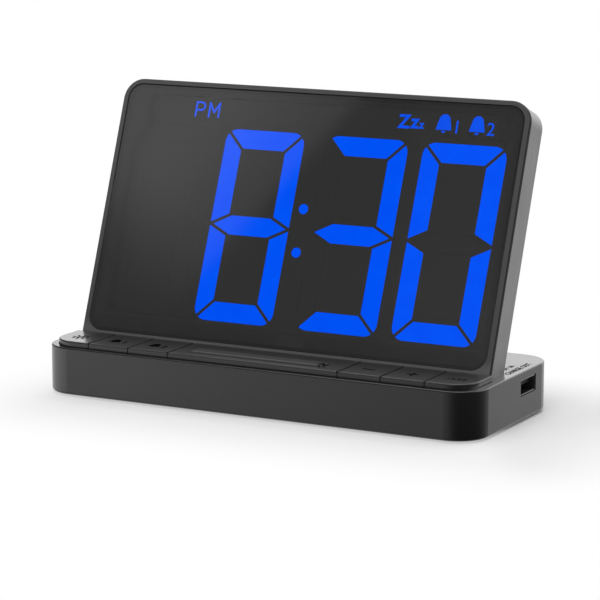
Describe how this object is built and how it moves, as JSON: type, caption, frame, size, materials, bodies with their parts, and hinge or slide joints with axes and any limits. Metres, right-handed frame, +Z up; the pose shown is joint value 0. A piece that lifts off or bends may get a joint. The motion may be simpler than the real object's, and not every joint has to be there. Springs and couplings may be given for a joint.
{
  "type": "digital alarm clock",
  "caption": "Free-standing digital alarm clock: low base with a row of press keys and a charging port, and a leaning display head with large blue digits behind a smoked window.",
  "frame": {"origin": "on the table under the middle of the base's plan, at the bottom of the feet", "axes": "+X to the right seen from the front, +Y to the rear, so the display faces -Y, and +Z up"},
  "size_m": [0.18, 0.071, 0.1145],
  "materials": {
    "base_plastic": "satin, fine grain",
    "key_plastic": "satin",
    "bar_plastic": "satin",
    "bezel_plastic": "satin",
    "rear_plastic": "fine upright lines",
    "smoked_window": "smoked, polished",
    "mask_plastic": "black",
    "lit_lens": "lit blue",
    "unlit_lens": "dark",
    "board_laminate": "solder mask",
    "component_plastic": "moulded",
    "lamp_resin": "clear resin",
    "screw_steel": "zinc plated",
    "port_metal": "nickel plated",
    "port_plastic": "moulded",
    "foot_rubber": "matt",
    "cell_steel": "plated",
    "frame_plastic": "moulded",
    "plunger_plastic": "moulded",
    "ribbon_film": "film"
  },
  "bodies": {
    "base": {"base_housing": "base_plastic", "base_bottom_cover": "base_plastic", "battery_door": "base_plastic", "deck_centre": "key_plastic", "display_bezel": "bezel_plastic", "display_rear_housing": "rear_plastic", "front_window": "smoked_window", "segment_mask": "mask_plastic", "hour_digit": "lit_lens", "minute_tens_digit": "lit_lens", "minute_ones_digit": "lit_lens", "colon_dots": "lit_lens", "unlit_segments": "unlit_lens", "indicator_lens": "unlit_lens", "main_board": "board_laminate", "display_board": "board_laminate", "control_chip": "component_plastic", "display_driver": "component_plastic", "buzzer": "component_plastic", "switch_bodies": "component_plastic", "ribbon_sockets": "component_plastic", "segment_lamps": "lamp_resin", "base_screws": "screw_steel", "battery_door_screw": "screw_steel", "board_screws": "screw_steel", "display_screws": "screw_steel", "neck_screws": "screw_steel", "usb_socket": "port_metal", "dc_jack_pin": "port_metal", "battery_contact_plus": "port_metal", "battery_contact_minus": "port_metal", "usb_tongue": "port_plastic", "dc_jack": "port_plastic", "rubber_feet": "foot_rubber", "coin_cell": "cell_steel", "key_frame": "frame_plastic", "display_ribbon": "ribbon_film"},
    "key_left_outer_press": {"key_left_outer": "key_plastic", "plunger_left_outer": "plunger_plastic"},
    "key_left_middle_press": {"key_left_middle": "key_plastic", "plunger_left_middle": "plunger_plastic"},
    "key_left_inner_press": {"key_left_inner": "key_plastic", "plunger_left_inner": "plunger_plastic"},
    "key_right_inner_press": {"key_right_inner": "key_plastic", "plunger_right_inner": "plunger_plastic"},
    "key_right_middle_press": {"key_right_middle": "key_plastic", "plunger_right_middle": "plunger_plastic"},
    "key_right_outer_press": {"key_right_outer": "key_plastic", "plunger_right_outer": "plunger_plastic"},
    "snooze_bar_press": {"snooze_bar": "bar_plastic", "snooze_plunger": "plunger_plastic"}
  },
  "joints": [
    {"name": "key_left_outer_slide", "type": "slide", "parent": "base", "child": "key_left_outer_press", "axis": [0, 0, -1], "range_m": [0, 0.0006], "stiffness_N_per_m": 2000, "springref_m": -0.0002},
    {"name": "key_left_middle_slide", "type": "slide", "parent": "base", "child": "key_left_middle_press", "axis": [0, 0, -1], "range_m": [0, 0.0006], "stiffness_N_per_m": 2000, "springref_m": -0.0002},
    {"name": "key_left_inner_slide", "type": "slide", "parent": "base", "child": "key_left_inner_press", "axis": [0, 0, -1], "range_m": [0, 0.0006], "stiffness_N_per_m": 2000, "springref_m": -0.0002},
    {"name": "key_right_inner_slide", "type": "slide", "parent": "base", "child": "key_right_inner_press", "axis": [0, 0, -1], "range_m": [0, 0.0006], "stiffness_N_per_m": 2000, "springref_m": -0.0002},
    {"name": "key_right_middle_slide", "type": "slide", "parent": "base", "child": "key_right_middle_press", "axis": [0, 0, -1], "range_m": [0, 0.0006], "stiffness_N_per_m": 2000, "springref_m": -0.0002},
    {"name": "key_right_outer_slide", "type": "slide", "parent": "base", "child": "key_right_outer_press", "axis": [0, 0, -1], "range_m": [0, 0.0006], "stiffness_N_per_m": 2000, "springref_m": -0.0002},
    {"name": "snooze_bar_slide", "type": "slide", "parent": "base", "child": "snooze_bar_press", "axis": [0, 0, -1], "range_m": [0, 0.0006], "stiffness_N_per_m": 2000, "springref_m": -0.0002}
  ]
}
